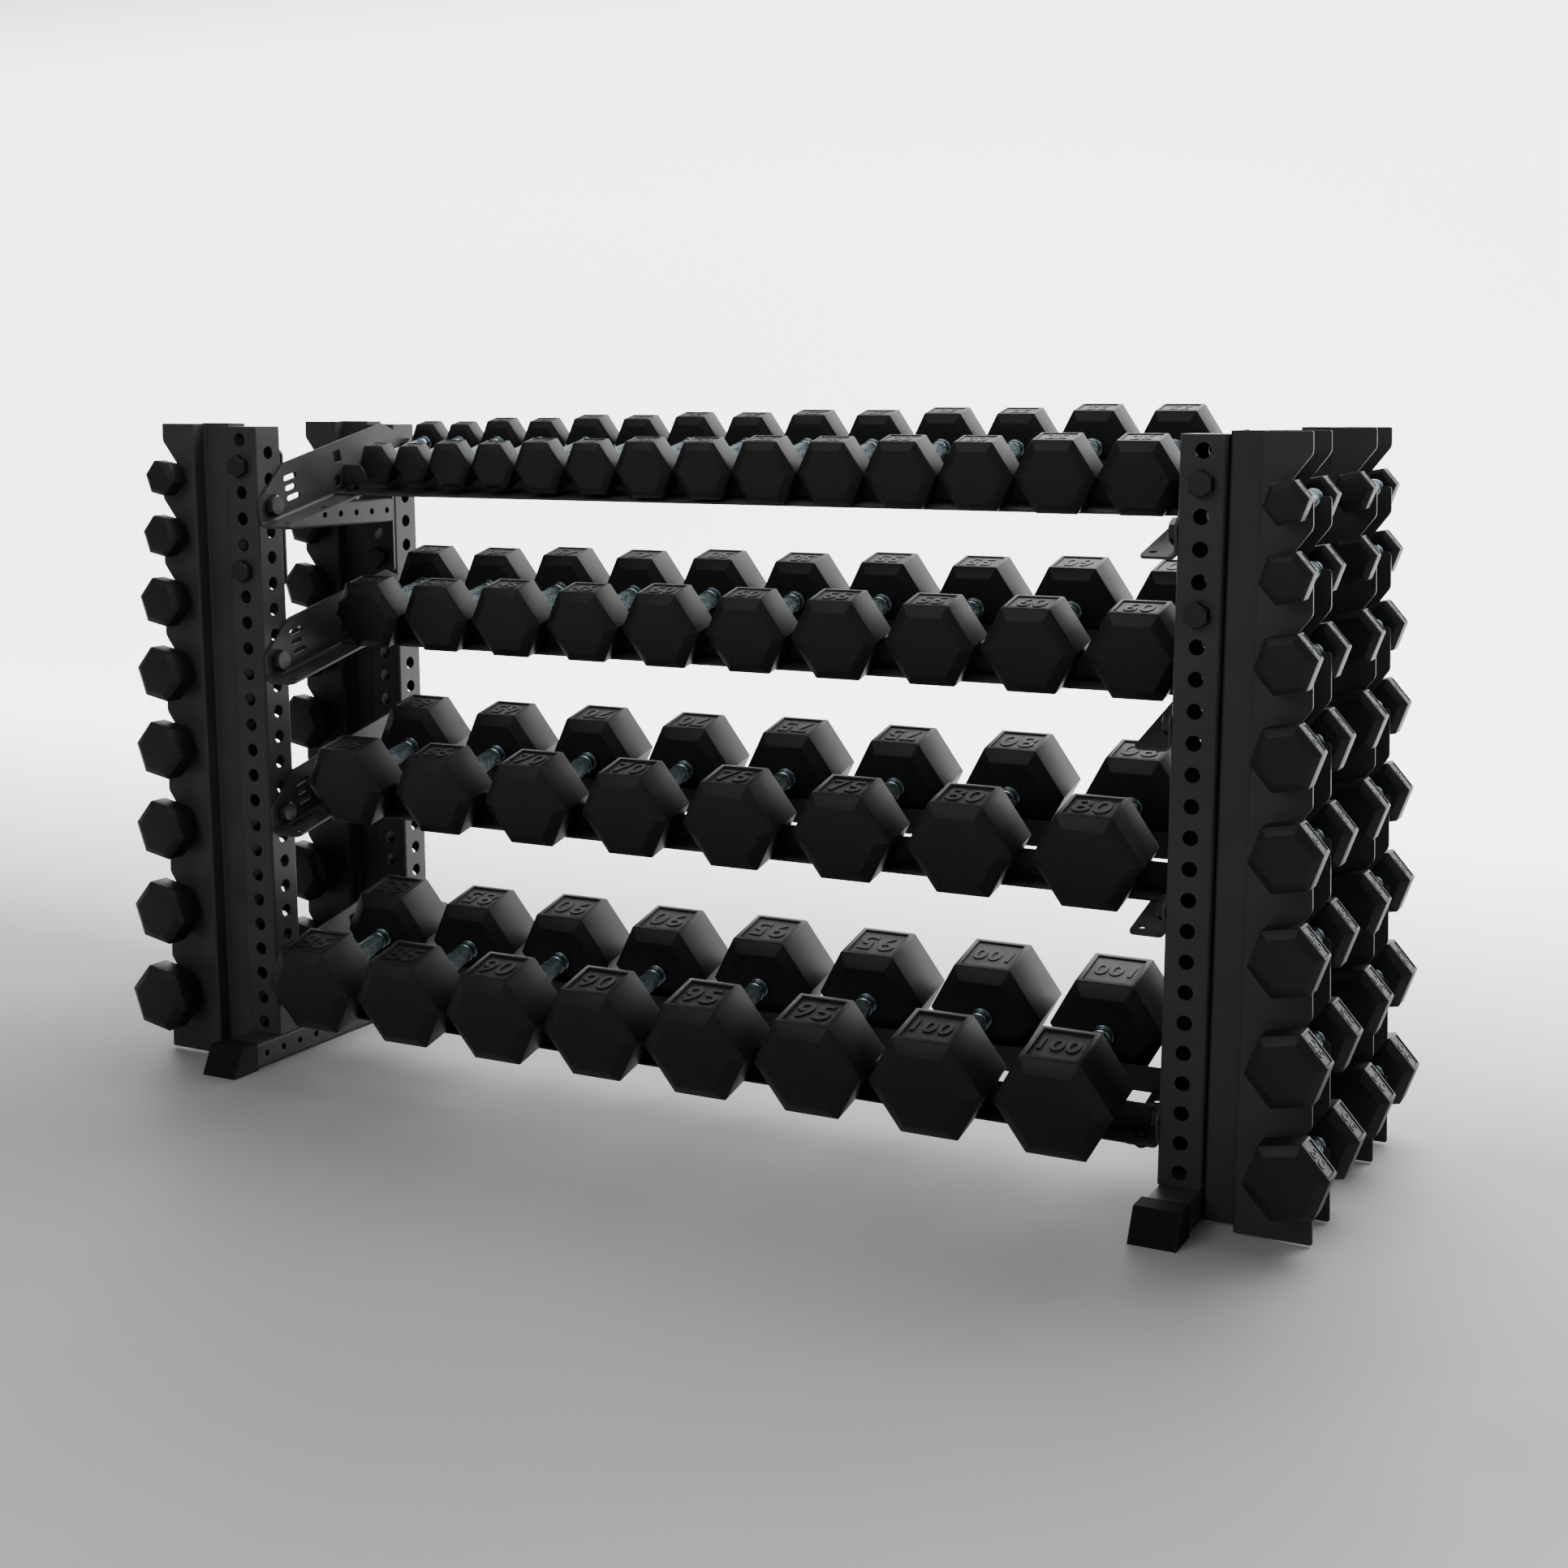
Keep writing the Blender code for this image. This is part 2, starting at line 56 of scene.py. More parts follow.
TUBE = 3.0 * INCH
TUBE_WALL = 0.0048
TUBE_CORNER = 0.0065
CROSS_HEIGHT = 2.0 * INCH
HOLE_PITCH = 2.0 * INCH
HOLE_RADIUS = 0.5 * INCH
HOLE_COUNT = 24
HOLE_SIDES = 32
SMALL_HOLE_RADIUS = 0.25 * INCH
SMALL_HOLE_SIDES = 20
END_PLATE = 0.0064
END_PLATE_CORNER = 0.012
END_PLATE_HOLES = (-2, -1, 1, 2)    # in pitches from the plate's middle
BASE_HOLES = 12
BASE_FIRST_HOLE = -0.2918           # from the middle of the rack
CAP_RAKE = 0.026                    # how far a foot cap's outer face leans in
CAP_RIBS = 13
CAP_GROOVE = 0.0016
CAP_MARGIN = 0.003
CAP_FIT = 0.0002                    # air round the tube in a foot cap

SHEET = 0.0048
LEG_Y = 0.060
WALL_Y = 0.028
JOGGLE_X = 1.056
JOGGLE_RADIUS = 0.0056
BEND_RADIUS = 0.007
EDGE_TOP = 1.133
NOTCH_RATINGS = (5, 10, 15, 20, 25, 30, 35, 40)      # largest weight each notch has room for
NOTCH_ROOM = 0.2102                 # height kept for a head in a notch rated for 100 lb
HELD_WEIGHTS = (2, 5, 10, 15, 18, 20, 25, 30)
SIDE_TOP_HANDLE = 1.1736
SIDE_CLEARANCE = 0.0287
HANDLE_LINE_TOP = 1.106
HANDLE_LINE_LEAN = 0.046
NOTCH_RADIUS = 0.015
NOTCH_TIP = 0.004
NOTCH_RISE = 0.072
NOTCH_THROAT = 0.016
SIDE_TURN = math.radians(49.0)      # number panel of a dumbbell in the holders, from straight up

ARM_PLATE = 0.0048
ARM_BOTTOM = 0.003
ARM_TOP = 0.109
ARM_LENGTH = 0.508
ARM_FLANGE_EDGE = 0.857
ARM_BOLTS = ((0.0391, 0.0382), (0.4827, 0.0382))     # up the slope, over the arm's lower edge
ARM_BEND = 0.012
ARM_CORNER = 0.012                  # free corners of the flange
RAIL_HALF_LENGTH = 0.914
RAIL_SIZE = 2.0 * INCH
RAIL_SHEET = 0.0048
RAIL_HALF_SPACING = 2.25 * INCH
RAIL_BOTTOM = ARM_BOTTOM + ARM_PLATE
FRONT_BOLTS = (1.1206, 0.8158, 0.5110, 0.1554)
ARM_ORIGIN_Y = -0.2449
RAIL_BOLT_X = 0.885
RAIL_BOLT_OFFSET = 0.027            # from the rail's back, up or down the slope
BIG_BOLT = (0.038, 0.0145)          # across the flats, height
SMALL_BOLT = (0.019, 0.0090)
ARM_DROP = 0.0461
TIERS = 4

GRIP_LENGTH = 0.136
HEAD_LENGTH = 0.038                 # for no weight
LENGTH_GAIN = 0.00099               # more of it per pound
HEAD_FLATS = 0.182                  # at 100 lb
FLATS_POWER = 0.35
FLATS_START = 3                     # pounds added before the power
CHAMFER_RATIO = 0.13                # towards the handle's axis
CHAMFER_DEPTH = 0.08                # along it
HANDLE_SWELL = 1.12
HANDLE_RADIUS_SMALL = 0.013
HANDLE_RADIUS_GAIN = 0.0035         # more of it at 50 lb and over
HANDLE_GAIN_WEIGHT = 45.0
KNURL_HALF = 0.0475                 # from the middle of the handle to the end of its swell
HEX_SIDES = 6


# ---------------------------------------------------------------- meshes

def on_axis(axis, a, b, along):
    return {"X": (along, a, b), "Y": (a, along, b), "Z": (a, b, along)}[axis]


def ring(bm, outline, axis, along):
    return [bm.verts.new(on_axis(axis, a, b, along)) for a, b in outline]


def bridge(bm, first, second):
    count = len(first)
    for i in range(count):
        j = (i + 1) % count
        bm.faces.new((first[i], first[j], second[j], second[i]))


def add_prism(bm, outline, axis, low, high):
    start = ring(bm, outline, axis, low)
    end = ring(bm, outline, axis, high)
    bridge(bm, start, end)
    bm.faces.new(start)
    bm.faces.new(end)


def add_tube(bm, outer, inner, axis, low, high, closed_wall=0.0):
    outer_low, outer_high = ring(bm, outer, axis, low), ring(bm, outer, axis, high)
    inner_low, inner_high = ring(bm, inner, axis, low), ring(bm, inner, axis, high - closed_wall)
    bridge(bm, outer_low, outer_high)
    bridge(bm, inner_low, inner_high)
    bridge(bm, outer_low, inner_low)
    if closed_wall:
        bm.faces.new(outer_high)
        bm.faces.new(inner_high)
    else:
        bridge(bm, outer_high, inner_high)


def rounded_rectangle(half_width, half_height, radius, middle=(0.0, 0.0), steps=5):
    points = []
    for corner, (side, level) in enumerate(((1, 1), (-1, 1), (-1, -1), (1, -1))):
        a = middle[0] + side * (half_width - radius)
        b = middle[1] + level * (half_height - radius)
        for step in range(steps + 1):
            angle = math.radians(90.0 * (corner + step / steps))
            points.append((a + radius * math.cos(angle), b + radius * math.sin(angle)))
    return points


def circle(radius, sides, middle=(0.0, 0.0)):
    angles = [2 * math.pi * (i + 0.5) / sides for i in range(sides)]
    return [(middle[0] + radius * math.cos(t), middle[1] + radius * math.sin(t)) for t in angles]


def slot_outline(half_length, radius, middle, steps=8):
    """Slot with round ends, its long way along the first axis."""
    points = []
    for end in (0, 1):
        for step in range(steps + 1):
            angle = math.pi * (end + step / steps) - math.pi / 2
            shift = half_length - radius if end == 0 else radius - half_length
            x = shift + radius * math.cos(angle)
            points.append((middle[0] + x, middle[1] + radius * math.sin(angle)))
    return points


def filleted(corners, steps=6):
    """Outline through (a, b, radius) corners, each rounded by its radius."""
    points = []
    count = len(corners)
    for i, (a, b, radius) in enumerate(corners):
        here = Vector((a, b))
        before = Vector(corners[i - 1][:2]) - here
        after = Vector(corners[(i + 1) % count][:2]) - here
        if radius <= 0.0:
            points.append((a, b))
            continue
        half = before.angle(after) / 2
        cut = radius / math.tan(half)
        centre = here + (before.normalized() + after.normalized()).normalized() * radius / math.sin(half)
        start = here + before.normalized() * cut - centre
        end = here + after.normalized() * cut - centre
        first = math.atan2(start.y, start.x)
        turn = (math.atan2(end.y, end.x) - first + math.pi) % (2 * math.pi) - math.pi
        for step in range(steps + 1):
            angle = first + turn * step / steps
            points.append((centre.x + radius * math.cos(angle), centre.y + radius * math.sin(angle)))
    return points


def thick_path(path, thickness):
    """Outline of a sheet that follows an open path, its thickness on the path's left."""
    moved = []
    for i, point in enumerate(path):
        normals = []
        for a, b in ((i - 1, i), (i, i + 1)):
            if a >= 0 and b < len(path):
                way = Vector(path[b]) - Vector(path[a])
                normals.append(Vector((-way.y, way.x)).normalized())
        normal = sum(normals, Vector((0.0, 0.0))) / len(normals)
        shift = normal * thickness / normal.length_squared
        moved.append((point[0] + shift.x, point[1] + shift.y))
    return list(path) + moved[::-1]


def arc(centre, radius, first, last, steps=6):
    """Points round a centre, from one angle to another in degrees."""
    angles = [math.radians(first + (last - first) * i / steps) for i in range(steps + 1)]
    return [(centre[0] + radius * math.cos(t), centre[1] + radius * math.sin(t)) for t in angles]


def to_mesh(name, bm):
    bmesh.ops.recalc_face_normals(bm, faces=bm.faces)
    mesh = bpy.data.meshes.new(name)
    bm.to_mesh(mesh)
    bm.free()
    return mesh


def prism_mesh(name, outlines, axis, low, high):
    bm = bmesh.new()
    for outline in outlines:
        add_prism(bm, outline, axis, low, high)
    return to_mesh(name, bm)


def combined(mesh, other, operation):
    """A new mesh: the first with the other cut out of it or joined to it."""
    pair = []
    for part in (mesh, other):
        obj = bpy.data.objects.new("operand", part)
        bpy.context.scene.collection.objects.link(obj)
        pair.append(obj)
    modifier = pair[0].modifiers.new("combine", "BOOLEAN")
    modifier.operation = operation
    modifier.object = pair[1]
    graph = bpy.context.evaluated_depsgraph_get()
    result = bpy.data.meshes.new_from_object(pair[0].evaluated_get(graph))
    result.name = mesh.name
    for obj in pair:
        bpy.data.objects.remove(obj, do_unlink=True)
    return result


def gathered(name, mesh, places):
    """Copies of one mesh at several places, as one mesh."""
    bm = bmesh.new()
    for place in places:
        start = len(bm.verts)
        bm.from_mesh(mesh)
        bm.verts.ensure_lookup_table()
        bmesh.ops.transform(bm, matrix=place, verts=bm.verts[start:])
    result = bpy.data.meshes.new(name)
    bm.to_mesh(result)
    bm.free()
    return result


def add_piece(name, mesh, material, body=FRAME_BODY, stands_for=(), place=Matrix(), bevel=0.0):
    """Put a piece in the scene on a body; bevel is the width of its rounded edges."""
    obj = bpy.data.objects.new(name, mesh)
    bpy.context.scene.collection.objects.link(obj)
    obj.matrix_world = place
    if not mesh.materials:
        mesh.materials.append(material)
    mesh.shade_smooth()
    if bevel:
        modifier = obj.modifiers.new("soft_edges", "BEVEL")
        modifier.width = bevel
        modifier.segments = 2
        modifier.limit_method = "ANGLE"
        modifier.angle_limit = math.radians(35)
        modifier.use_clamp_overlap = True
        flat = obj.modifiers.new("flat_faces", "WEIGHTED_NORMAL")
        flat.keep_sharp = True
    else:
        mesh.set_sharp_from_angle(angle=math.radians(32))
    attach(obj, body)
    if stands_for:
        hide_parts(*stands_for)
    return obj


# ---------------------------------------------------------------- materials

class Nodes:
    """Small helper that adds nodes to a material and joins them."""

    def __init__(self, name):
        self.material = bpy.data.materials.new(name)
        self.material.use_nodes = True
        self.tree = self.material.node_tree
        self.shader = self.tree.nodes["Principled BSDF"]

    def add(self, kind, inputs=None, **settings):
        node = self.tree.nodes.new(kind)
        for key, value in settings.items():
            setattr(node, key, value)
        for key, value in (inputs or {}).items():
            self.put(node, key, value)
        return node

    def put(self, node, key, value):
        if isinstance(value, bpy.types.NodeSocket):
            self.tree.links.new(value, node.inputs[key])
        else:
            node.inputs[key].default_value = value

    def math(self, operation, a, b=0.0):
        return self.add("ShaderNodeMath", {0: a, 1: b}, operation=operation).outputs[0]

    def noise(self, position, scale, detail=3.0, roughness=0.5):
        node = self.add("ShaderNodeTexNoise", {"Vector": position, "Scale": scale, "Detail": detail,
                                               "Roughness": roughness})
        return node.outputs["Fac"]

    def ramp(self, value, low, high, to_low, to_high):
        node = self.add("ShaderNodeMapRange", {0: value, 1: low, 2: high, 3: to_low, 4: to_high})
        return node.outputs[0]

    def mix(self, amount, first, second):
        node = self.add("ShaderNodeMix", data_type="RGBA")
        self.put(node, 0, amount)
        self.put(node, 6, (*first, 1.0) if isinstance(first, tuple) else first)
        self.put(node, 7, (*second, 1.0) if isinstance(second, tuple) else second)
        return node.outputs[2]

    def bump(self, height, distance, strength=1.0, normal=None):
        node = self.add("ShaderNodeBump", {"Height": height, "Distance": distance, "Strength": strength})
        if normal:
            self.put(node, "Normal", normal)
        return node.outputs[0]

    def position(self):
        return self.add("ShaderNodeTexCoord").outputs["Object"]


def powder_coat(name, dark, light):
    """Fine-textured matte paint: orange-peel bumps, faint cloudiness and slightly rubbed patches."""
    n = Nodes(name)
    place = n.position()
    cloud = n.noise(place, 9.0, 4.0)
    grain = n.noise(place, 900.0, 2.0)
    peel = n.noise(place, 260.0, 2.0)
    colour = n.mix(n.ramp(cloud, 0.35, 0.7, 0.0, 1.0), dark, light)
    speck = n.ramp(grain, 0.62, 0.75, 0.0, 0.25)
    n.put(n.shader, "Base Color", n.mix(speck, colour, tuple(2.2 * c for c in light)))
    n.put(n.shader, "Roughness", n.ramp(n.math("ADD", cloud, grain), 0.7, 1.3, 0.42, 0.56))
    coarse = n.bump(peel, 0.00012, 0.5)
    n.put(n.shader, "Normal", n.bump(grain, 0.00004, 0.6, coarse))
    n.shader.inputs["Specular IOR Level"].default_value = 0.25
    return n.material


def moulded_rubber(name, dark, light, rough_low, rough_high):
    """Matte rubber with a fine pebble, a dusty bloom and faint scuffs."""
    n = Nodes(name)
    place = n.position()
    bloom = n.noise(place, 14.0, 5.0, 0.6)
    pebble = n.noise(place, 1300.0, 2.0)
    stretched = n.add("ShaderNodeMapping", {"Vector": place, "Scale": (35.0, 260.0, 35.0)}).outputs[0]
    scuff = n.ramp(n.noise(stretched, 1.0, 4.0, 0.65), 0.66, 0.78, 0.0, 0.35)
    colour = n.mix(n.ramp(bloom, 0.35, 0.75, 0.0, 1.0), dark, light)
    n.put(n.shader, "Base Color", n.mix(scuff, colour, tuple(1.5 * c for c in light)))
    n.put(n.shader, "Roughness", n.ramp(n.math("SUBTRACT", bloom, scuff), 0.2, 0.75, rough_low, rough_high))
    n.put(n.shader, "Normal", n.bump(pebble, 0.00006, 0.7))
    n.shader.inputs["Specular IOR Level"].default_value = 0.3
    return n.material


def knurled_steel(name):
    """Plated grip: crossed diamond knurl along the middle, plain at the collars, with fine turning marks. The
    knurl's grooves are darkened in colour as painted shade.
    """
    n = Nodes(name)
    place = n.position()
    x, y, z = n.add("ShaderNodeSeparateXYZ", {0: place}).outputs
    angle = n.math("ARCTAN2", x, z)
    turns = n.math("MULTIPLY", angle, 34.0)
    along = n.math("MULTIPLY", y, 2100.0)
    one = n.math("ABSOLUTE", n.math("SINE", n.math("ADD", turns, along)))
    other = n.math("ABSOLUTE", n.math("SINE", n.math("SUBTRACT", turns, along)))
    diamond = n.math("MINIMUM", one, other)
    middle = n.ramp(n.math("ABSOLUTE", y), 0.0455, 0.0475, 1.0, 0.0)
    marks = n.math("SINE", n.math("MULTIPLY", y, 14000.0))
    wear = n.noise(place, 55.0, 4.0)
    height = n.math("ADD", n.math("MULTIPLY", diamond, middle), n.math("MULTIPLY", marks, 0.02))
    n.put(n.shader, "Normal", n.bump(height, 0.0005, 0.9))
    # painted shade: the colour darkens in the knurl's grooves
    knurl_groove_painted_shade = n.math("MULTIPLY", n.ramp(diamond, 0.0, 0.4, 1.0, 0.0), middle)
    steel = n.mix(n.ramp(wear, 0.3, 0.7, 0.0, 1.0), (0.27, 0.37, 0.40), (0.40, 0.50, 0.53))
    n.put(n.shader, "Base Color", n.mix(knurl_groove_painted_shade, steel, (0.05, 0.075, 0.085)))
    n.put(n.shader, "Roughness", n.ramp(wear, 0.25, 0.75, 0.18, 0.34))
    n.shader.inputs["Metallic"].default_value = 1.0
    return n.material


def oxide_steel(name):
    """Blackened bolts: darker than the paint, a little shinier, with small rubbed spots."""
    n = Nodes(name)
    place = n.position()
    spots = n.noise(place, 320.0, 3.0)
    cloud = n.noise(place, 60.0, 3.0)
    rubbed = n.ramp(spots, 0.60, 0.72, 0.0, 0.4)
    n.put(n.shader, "Base Color", n.mix(rubbed, (0.012, 0.012, 0.013), (0.04, 0.04, 0.042)))
    n.put(n.shader, "Roughness", n.ramp(cloud, 0.3, 0.7, 0.36, 0.5))
    n.put(n.shader, "Normal", n.bump(spots, 0.00006, 0.5))
    n.shader.inputs["Metallic"].default_value = 0.3
    return n.material


PAINT = powder_coat("powder_coat", (0.034, 0.034, 0.0348), (0.044, 0.044, 0.045))
HEAD_RUBBER = moulded_rubber("head_rubber", (0.006, 0.006, 0.0063), (0.011, 0.011, 0.0114), 0.42, 0.56)
FOOT_RUBBER = moulded_rubber("foot_rubber", (0.002, 0.002, 0.0021), (0.004, 0.004, 0.0042), 0.70, 0.86)
STEEL = knurled_steel("grip_steel")
BOLT_STEEL = oxide_steel("bolt_steel")


# ---------------------------------------------------------------- frame

def upright_mesh(low, high):
    """Tube round its own axis, drilled through both pairs of walls, the side rows half a pitch lower."""
    bm = bmesh.new()
    outer = rounded_rectangle(TUBE / 2, TUBE / 2, TUBE_CORNER)
    inner = rounded_rectangle(TUBE / 2 - TUBE_WALL, TUBE / 2 - TUBE_WALL, TUBE_CORNER - TUBE_WALL)
    add_tube(bm, outer, inner, "Z", low, high, TUBE_WALL)
    tube = to_mesh("upright", bm)
    for axis, count, first in (("Y", HOLE_COUNT, 0.5), ("X", HOLE_COUNT - 1, 1.0)):
        outlines = []
        for i in range(count):
            outlines.append(circle(HOLE_RADIUS, HOLE_SIDES, (0.0, high - HOLE_PITCH * (i + first))))
        drill = prism_mesh("drill", outlines, axis, -TUBE, TUBE)
        tube = combined(tube, drill, "DIFFERENCE")
    return tube


def build_uprights():
    low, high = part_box("upright_left_front")
    mesh = upright_mesh(low[2], high[2])
    for end in ("left", "right"):
        for row in ("front", "rear"):
            node = f"upright_{end}_{row}"
            low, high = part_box(node)
            place = Matrix.Translation(((low[0] + high[0]) / 2, (low[1] + high[1]) / 2, 0.0))
            add_piece(f"drilled_{node}", mesh, PAINT, stands_for=[node], place=place,
                      bevel=0.0006)


def crossmember_tube(name, middle, low, high):
    bm = bmesh.new()
    outer = rounded_rectangle(TUBE / 2, CROSS_HEIGHT / 2, TUBE_CORNER, middle)
    inner = rounded_rectangle(TUBE / 2 - TUBE_WALL, CROSS_HEIGHT / 2 - TUBE_WALL,
                              TUBE_CORNER - TUBE_WALL, middle)
    add_tube(bm, outer, inner, "Y", low, high)
    return to_mesh(name, bm)


def build_base_crossmember(node):
    low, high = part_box(node)
    middle = ((low[0] + high[0]) / 2, (low[2] + high[2]) / 2)
    tube = crossmember_tube(node, middle, low[1], high[1])
    outlines = []
    for i in range(BASE_HOLES):
        spot = (BASE_FIRST_HOLE + HOLE_PITCH * i, middle[1])
        outlines.append(circle(SMALL_HOLE_RADIUS, SMALL_HOLE_SIDES, spot))
    tube = combined(tube, prism_mesh("drill", outlines, "X", low[0] - TUBE, high[0] + TUBE), "DIFFERENCE")
    add_piece(f"drilled_{node}", tube, PAINT, stands_for=[node], bevel=0.0005)


def build_top_crossmember(node):
    low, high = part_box(node)
    x = (low[0] + high[0]) / 2
    z = (low[2] + high[2]) / 2
    tube = crossmember_tube(node, (x, z), low[1] + END_PLATE, high[1] - END_PLATE)
    outlines = []
    for i in range(-3, 4):
        outlines.append(circle(SMALL_HOLE_RADIUS, SMALL_HOLE_SIDES, (HOLE_PITCH * i, z)))
    tube = combined(tube, prism_mesh("drill", outlines, "X", x - TUBE, x + TUBE), "DIFFERENCE")
    add_piece(f"drilled_{node}", tube, PAINT, stands_for=[node], bevel=0.0005)
    plate = rounded_rectangle(TUBE / 2 - 0.0005, (high[2] - low[2]) / 2, END_PLATE_CORNER, (x, z))
    drilled = []
    for step in END_PLATE_HOLES:
        drilled.append(circle(HOLE_RADIUS, HOLE_SIDES, (x, z + HOLE_PITCH * step)))
    for row, y in (("front", low[1]), ("rear", high[1] - END_PLATE)):
        sheet = prism_mesh("end_plate", [plate], "Y", y, y + END_PLATE)
        holes = prism_mesh("drill", drilled, "Y", y - TUBE, y + TUBE)
        add_piece(f"end_plate_{node[16:]}_{row}", combined(sheet, holes, "DIFFERENCE"), PAINT,
                  bevel=0.0006)


def build_foot_cap(node):
    """Rubber cap with upright ribs on its raked face, hollow where the tube enters."""
    low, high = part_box(node)
    x = (low[0] + high[0]) / 2
    half = (high[0] - low[0]) / 2
    row = 1 if high[1] > 0 else -1
    outer_bottom = max(abs(low[1]), abs(high[1]))
    inner_end = min(abs(low[1]), abs(high[1]))
    outer_top = outer_bottom - CAP_RAKE
    height = high[2]
    pitch = (2 * half - 2 * CAP_MARGIN) / CAP_RIBS
    stations = [(-half, 0.0)]
    for i in range(CAP_RIBS):
        start = -half + CAP_MARGIN + pitch * i
        stations += [(start, 0.0), (start + 0.25 * pitch, CAP_GROOVE)]
        stations += [(start + 0.60 * pitch, CAP_GROOVE), (start + 0.85 * pitch, 0.0)]
    stations.append((half, 0.0))
    bm = bmesh.new()
    rings = []
    for along, depth in stations:
        profile = [(outer_bottom - depth, 0.0), (inner_end, 0.0), (inner_end, height),
                   (outer_top - CAP_MARGIN, height), (outer_top - depth, height - CAP_MARGIN)]
        rings.append(ring(bm, [(row * a, b) for a, b in profile], "X", x + along))
    for first, second in zip(rings, rings[1:]):
        bridge(bm, first, second)
    bm.faces.new(rings[0])
    bm.faces.new(rings[-1])
    cap = to_mesh(node, bm)
    base_low, base_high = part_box("base_crossmember_left" if x < 0 else "base_crossmember_right")
    middle = (x, (base_low[2] + base_high[2]) / 2)
    pocket = rounded_rectangle(TUBE / 2 + CAP_FIT, CROSS_HEIGHT / 2 + CAP_FIT, TUBE_CORNER, middle)
    ends = sorted((0.0, row * (base_high[1] + CAP_FIT)))
    cap = combined(cap, prism_mesh("pocket", [pocket], "Y", *ends), "DIFFERENCE")
    add_piece(f"ribbed_{node}", cap, FOOT_RUBBER, stands_for=[node], bevel=0.0007)


# ---------------------------------------------------------------- side holders

def head_flats(weight):
    return HEAD_FLATS * ((weight + FLATS_START) / (100 + FLATS_START)) ** FLATS_POWER


def head_corners(weight):
    return head_flats(weight) / math.cos(math.pi / HEX_SIDES)


def side_handle_heights():
    rooms = [NOTCH_ROOM * (rating / 100) ** FLATS_POWER for rating in NOTCH_RATINGS]
    heights = [SIDE_TOP_HANDLE]
    for above, below in zip(rooms, rooms[1:]):
        heights.append(heights[-1] - (above + below) / 2 - SIDE_CLEARANCE)
    return heights


def handle_line(z):
    """How far from the rack's middle a handle lies in the notch at a height."""
    return HANDLE_LINE_TOP + HANDLE_LINE_LEAN * (SIDE_TOP_HANDLE - z)


def holder_edge(z, low, high, edge_bottom):
    return edge_bottom + (EDGE_TOP - edge_bottom) * (z - low) / (high - low)


def leg_outline(low, high, edge_bottom):
    """Leg of a side holder in X and Z: eight J-shaped notches down its outer edge."""
    inner = JOGGLE_X + JOGGLE_RADIUS - 0.0004
    corners = [(inner, high, 0.0), (EDGE_TOP, high, 0.003)]
    for z in side_handle_heights():
        handle = handle_line(z)
        slope_top = z + NOTCH_RISE
        corners += [
            (holder_edge(slope_top, low, high, edge_bottom), slope_top, 0.016),
            (handle - NOTCH_RADIUS, z + NOTCH_THROAT, 0.004),
            (handle - NOTCH_RADIUS, z - NOTCH_RADIUS, NOTCH_RADIUS * 0.99),
            (handle + NOTCH_RADIUS, z - NOTCH_RADIUS, NOTCH_RADIUS * 0.99),
            (handle + NOTCH_RADIUS, z + NOTCH_TIP, 0.003),
            (holder_edge(z + NOTCH_TIP, low, high, edge_bottom), z + NOTCH_TIP, 0.006),
        ]
    corners += [(edge_bottom, low, 0.004), (inner, low, 0.0)]
    return filleted(corners)


def channel_outline(web_x):
    """Bent middle of a side holder in X and Y, from one joggle round the web to the other."""
    out = (JOGGLE_X + JOGGLE_RADIUS, LEG_Y)
    half = [out]
    half += arc((JOGGLE_X + JOGGLE_RADIUS, LEG_Y - JOGGLE_RADIUS), JOGGLE_RADIUS, 90, 180)[1:]
    half += arc((JOGGLE_X - JOGGLE_RADIUS, WALL_Y + JOGGLE_RADIUS), JOGGLE_RADIUS, 0, -90)
    half += arc((web_x + BEND_RADIUS, WALL_Y - BEND_RADIUS), BEND_RADIUS, 90, 180)
    path = half + [(x, -y) for x, y in reversed(half)]
    return thick_path(path, SHEET)


def holder_mesh(low, high, web_x, edge_bottom):
    leg = leg_outline(low, high, edge_bottom)
    bm = bmesh.new()
    add_prism(bm, channel_outline(web_x), "Z", low, high)
    channel = to_mesh("side_holder", bm)
    legs = bmesh.new()
    add_prism(legs, leg, "Y", LEG_Y - SHEET, LEG_Y)
    add_prism(legs, leg, "Y", -LEG_Y, SHEET - LEG_Y)
    return combined(channel, to_mesh("legs", legs), "UNION")


def build_holders():
    low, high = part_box("side_holder_right_front")
    mesh = holder_mesh(low[2], high[2], low[0], high[0])
    for end, turn in (("left", math.pi), ("right", 0.0)):
        for row in ("front", "rear"):
            node = f"side_holder_{end}_{row}"
            low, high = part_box(node)
            place = Matrix.Translation((0.0, (low[1] + high[1]) / 2, 0.0)) @ Matrix.Rotation(turn, 4, "Z")
            add_piece(f"bent_{node}", mesh, PAINT, stands_for=[node], place=place,
                      bevel=0.0005)


# ---------------------------------------------------------------- tiers

def tier_place(tier):
    front_corner = Matrix.Translation((0.0, ARM_ORIGIN_Y, FRONT_BOLTS[tier] - ARM_DROP))
    return front_corner @ Matrix.Rotation(TILT, 4, "X")


def tier_middle(tier):
    """Distance up the slope from the arms' front corner to the dumbbells' middle."""
    weight = ("005", "040", "065", "085")[tier]
    low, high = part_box(f"dumbbell_{weight}_a")
    centre = Vector(((low[0] + high[0]) / 2, (low[1] + high[1]) / 2, (low[2] + high[2]) / 2))
    return (tier_place(tier).inverted() @ centre).y


